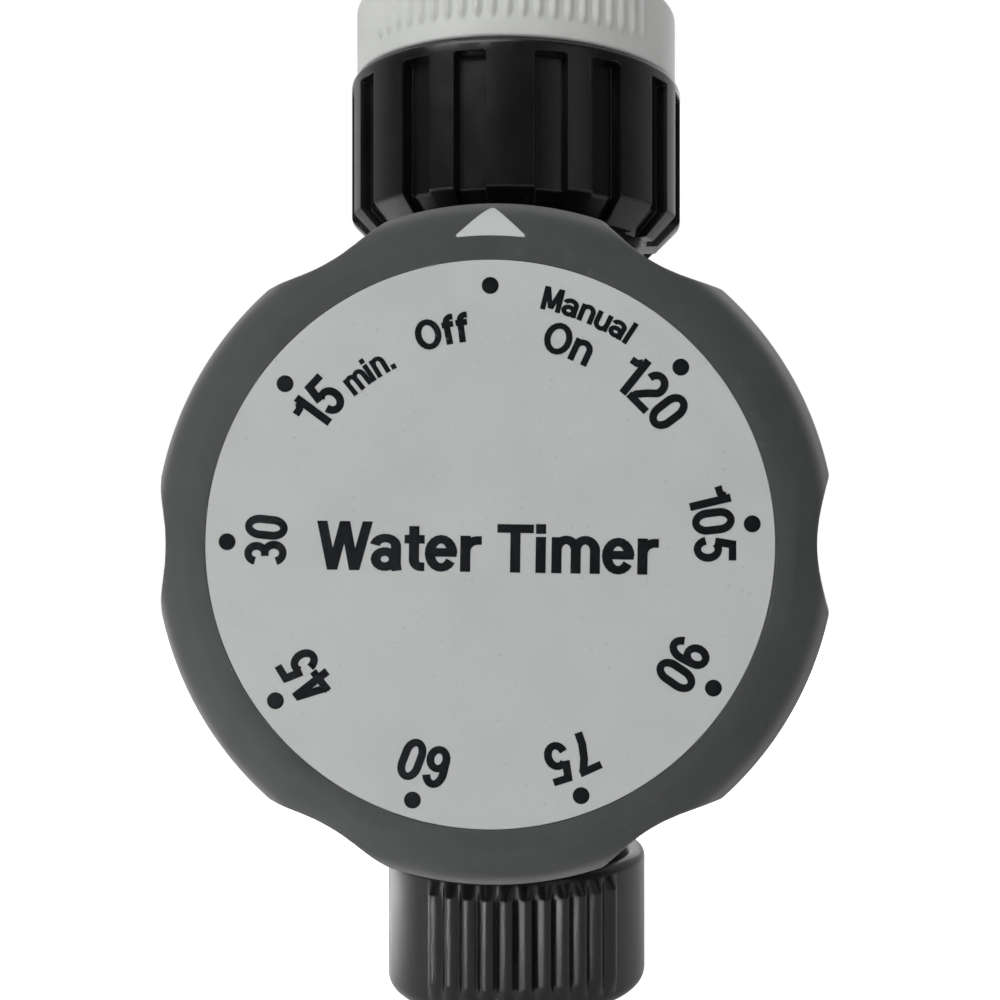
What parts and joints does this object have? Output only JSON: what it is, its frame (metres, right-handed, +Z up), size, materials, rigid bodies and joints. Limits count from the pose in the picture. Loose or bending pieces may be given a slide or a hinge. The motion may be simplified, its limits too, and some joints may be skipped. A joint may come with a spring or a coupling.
{
  "type": "mechanical water timer",
  "caption": "Round clockwork water timer with a scalloped dial, a swivel tap inlet nut and a click-on hose outlet, for a garden tap.",
  "frame": {"origin": "centre of the tap inlet's mouth, on the water axis in the plane of the adaptor's top face", "axes": "+Z up the water axis out of the inlet towards the tap, -Y out of the dial's face, +X to the right seen from the front"},
  "size_m": [0.0764, 0.0625, 0.153],
  "materials": {
    "dial_white": "fine satin moulded ABS, light cool grey-white",
    "grip_grey": "matte soft-touch overmould, mid grey",
    "housing_black": "fine textured moulded ABS, near black",
    "fitting_black": "semi-gloss moulded acetal, black",
    "adaptor_white": "satin moulded acetal, light grey-white",
    "valve_white": "natural acetal, off-white",
    "steel": "turned bright steel",
    "spring_steel": "blued spring steel",
    "brass": "stamped and turned brass",
    "rubber": "black nitrile rubber",
    "nylon": "natural nylon, cream",
    "filter_steel": "woven stainless mesh"
  },
  "bodies": {
    "case": {"front_housing": "housing_black", "rear_housing": "housing_black", "housing_screw_1": "steel", "housing_screw_2": "steel", "housing_screw_3": "steel", "housing_screw_4": "steel", "front_plate": "brass", "back_plate": "brass", "pillar_1": "brass", "pillar_2": "brass", "pillar_3": "brass", "pillar_4": "brass", "module_screw_1": "steel", "module_screw_2": "steel", "module_screw_3": "steel", "module_screw_4": "steel", "spring_post": "steel", "mainspring": "spring_steel", "arbor_seal": "rubber", "valve_body": "valve_white", "retaining_ring": "nylon", "inlet_filter": "filter_steel", "gland_bush": "brass", "stem_seal": "rubber", "rear_plug": "nylon", "plug_seal": "rubber", "return_spring": "spring_steel", "outlet_connector": "fitting_black", "outlet_washer": "rubber", "nipple_o_ring": "rubber"},
    "dial": {"dial_body": "dial_white", "grip_ring": "grip_grey", "main_arbor": "steel", "great_wheel": "brass", "timing_cam": "nylon"},
    "second_gear": {"second_arbor": "steel", "second_wheel": "brass"},
    "third_gear": {"third_arbor": "steel", "third_wheel": "brass"},
    "escape_gear": {"escape_arbor": "steel", "escape_wheel": "brass"},
    "pallet": {"pallet_arbor": "steel", "pallet_lever": "steel"},
    "balance": {"balance_staff": "steel", "balance_wheel": "brass", "hairspring": "spring_steel"},
    "valve_stem": {"plunger": "steel", "poppet_holder": "nylon", "poppet_washer": "rubber", "stem_clip": "spring_steel"},
    "inlet_swivel": {"swivel_nut": "fitting_black", "tap_adaptor": "adaptor_white", "inlet_washer": "rubber", "tap_washer": "rubber"}
  },
  "joints": [
    {"name": "dial_turn", "type": "hinge", "parent": "case", "child": "dial", "pos_m": [0, -0.03, -0.075], "axis": [0, 1, 0], "range_deg": [-24, 314]},
    {"name": "second_turn", "type": "hinge", "parent": "case", "child": "second_gear", "pos_m": [-0.01299, -0.0262, -0.0675], "axis": [0, 1, 0], "range_deg": [-1260, 100]},
    {"name": "third_turn", "type": "hinge", "parent": "case", "child": "third_gear", "pos_m": [-0.01466, -0.0262, -0.07938], "axis": [0, 1, 0], "range_deg": [-300, 3780]},
    {"name": "escape_turn", "type": "hinge", "parent": "case", "child": "escape_gear", "pos_m": [-0.00916, -0.0262, -0.08891], "axis": [0, 1, 0], "range_deg": [-10060, 780]},
    {"name": "pallet_rock", "type": "hinge", "parent": "case", "child": "pallet", "pos_m": [-0.00109, -0.0262, -0.09033], "axis": [0, 1, 0], "range_deg": [-5, 5]},
    {"name": "balance_swing", "type": "hinge", "parent": "case", "child": "balance", "pos_m": [0.00729, -0.0262, -0.08886], "axis": [0, 1, 0], "range_deg": [-120, 120], "stiffness_Nm_per_rad": 0.00001},
    {"name": "valve_slide", "type": "slide", "parent": "case", "child": "valve_stem", "axis": [0, 1, 0], "range_m": [0, 0.0025], "stiffness_N_per_m": 600, "springref_m": -0.004, "deforming": ["return_spring"]},
    {"name": "swivel_turn", "type": "hinge", "parent": "case", "child": "inlet_swivel", "pos_m": [0, 0, -0.02], "axis": [0, 0, 1], "continuous": true}
  ],
  "couplings": [
    {"joint": "second_turn", "follows": "dial_turn", "ratio": -4},
    {"joint": "third_turn", "follows": "dial_turn", "ratio": 12},
    {"joint": "escape_turn", "follows": "dial_turn", "ratio": -32}
  ]
}
